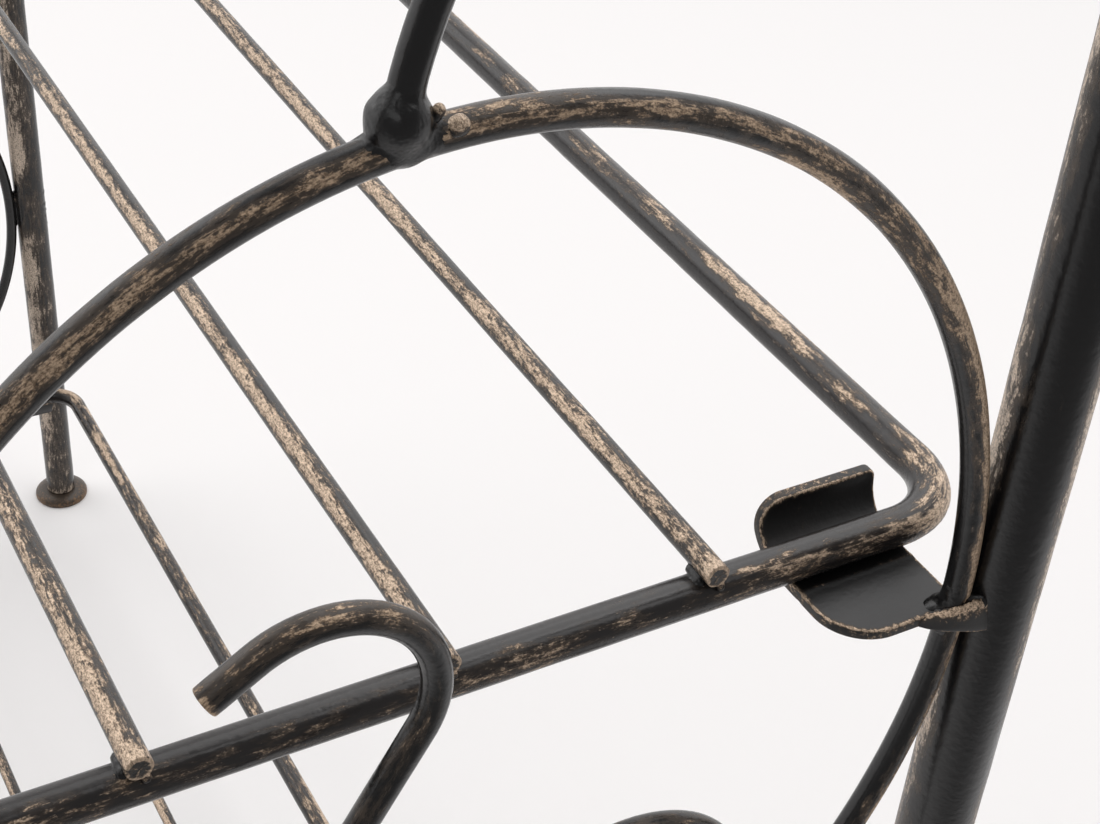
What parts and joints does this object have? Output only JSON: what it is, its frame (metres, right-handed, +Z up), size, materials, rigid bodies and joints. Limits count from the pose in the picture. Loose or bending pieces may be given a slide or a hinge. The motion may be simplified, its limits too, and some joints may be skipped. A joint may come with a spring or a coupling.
{
  "type": "metal shelving unit",
  "caption": "Open metal shelving unit: arched side panels with ovals and scrolls carry bent bar shelves that lift out of sheet hooks.",
  "frame": {"origin": "on the floor, midway between the side panels and midway between the front and rear legs", "axes": "+X along the shelves towards the right panel, +Y from the front to the back, +Z up"},
  "size_m": [0.752, 0.262, 1.09],
  "materials": {
    "satin_black": "satin black paint, lightly rubbed with bronze on its edges",
    "rubbed_black": "satin black paint, rubbed through to pale bronze along the rods",
    "rubbed_bronze": "brown bronze glaze over black",
    "screw_metal": "blackened screw"
  },
  "bodies": {
    "frame": {"left_hoop": "satin_black", "left_front_foot": "rubbed_bronze", "left_rear_foot": "rubbed_bronze", "left_bottom_oval": "rubbed_black", "left_bottom_scroll": "rubbed_black", "left_bottom_link": "satin_black", "left_bottom_front_hook": "satin_black", "left_bottom_rear_hook": "satin_black", "left_middle_oval": "rubbed_black", "left_middle_scroll": "rubbed_black", "left_middle_link": "satin_black", "left_middle_front_hook": "satin_black", "left_middle_rear_hook": "satin_black", "left_top_oval": "rubbed_black", "left_top_scroll": "rubbed_black", "left_top_link": "satin_black", "left_top_front_hook": "satin_black", "left_top_rear_hook": "satin_black", "right_hoop": "satin_black", "right_front_foot": "rubbed_bronze", "right_rear_foot": "rubbed_bronze", "right_bottom_oval": "rubbed_black", "right_bottom_scroll": "rubbed_black", "right_bottom_link": "satin_black", "right_bottom_front_hook": "satin_black", "right_bottom_rear_hook": "satin_black", "right_middle_oval": "rubbed_black", "right_middle_scroll": "rubbed_black", "right_middle_link": "satin_black", "right_middle_front_hook": "satin_black", "right_middle_rear_hook": "satin_black", "right_top_oval": "rubbed_black", "right_top_scroll": "rubbed_black", "right_top_link": "satin_black", "right_top_front_hook": "satin_black", "right_top_rear_hook": "satin_black", "rear_rail_1": "satin_black", "rear_rail_1_left_screw": "screw_metal", "rear_rail_1_right_screw": "screw_metal", "rear_rail_2": "satin_black", "rear_rail_2_left_screw": "screw_metal", "rear_rail_2_right_screw": "screw_metal"},
    "bottom_shelf": {"bottom_shelf_frame": "rubbed_black", "bottom_shelf_rod_1": "rubbed_black", "bottom_shelf_rod_2": "rubbed_black", "bottom_shelf_rod_3": "rubbed_black"},
    "middle_shelf": {"middle_shelf_frame": "rubbed_black", "middle_shelf_rod_1": "rubbed_black", "middle_shelf_rod_2": "rubbed_black", "middle_shelf_rod_3": "rubbed_black"},
    "top_shelf": {"top_shelf_frame": "rubbed_black", "top_shelf_rod_1": "rubbed_black", "top_shelf_rod_2": "rubbed_black", "top_shelf_rod_3": "rubbed_black"}
  },
  "joints": [
    {"name": "bottom_shelf_lift", "type": "slide", "parent": "frame", "child": "bottom_shelf", "axis": [0, 0, 1], "range_m": [0, 0.06]},
    {"name": "middle_shelf_lift", "type": "slide", "parent": "frame", "child": "middle_shelf", "axis": [0, 0, 1], "range_m": [0, 0.06]},
    {"name": "top_shelf_lift", "type": "slide", "parent": "frame", "child": "top_shelf", "axis": [0, 0, 1], "range_m": [0, 0.06]}
  ]
}
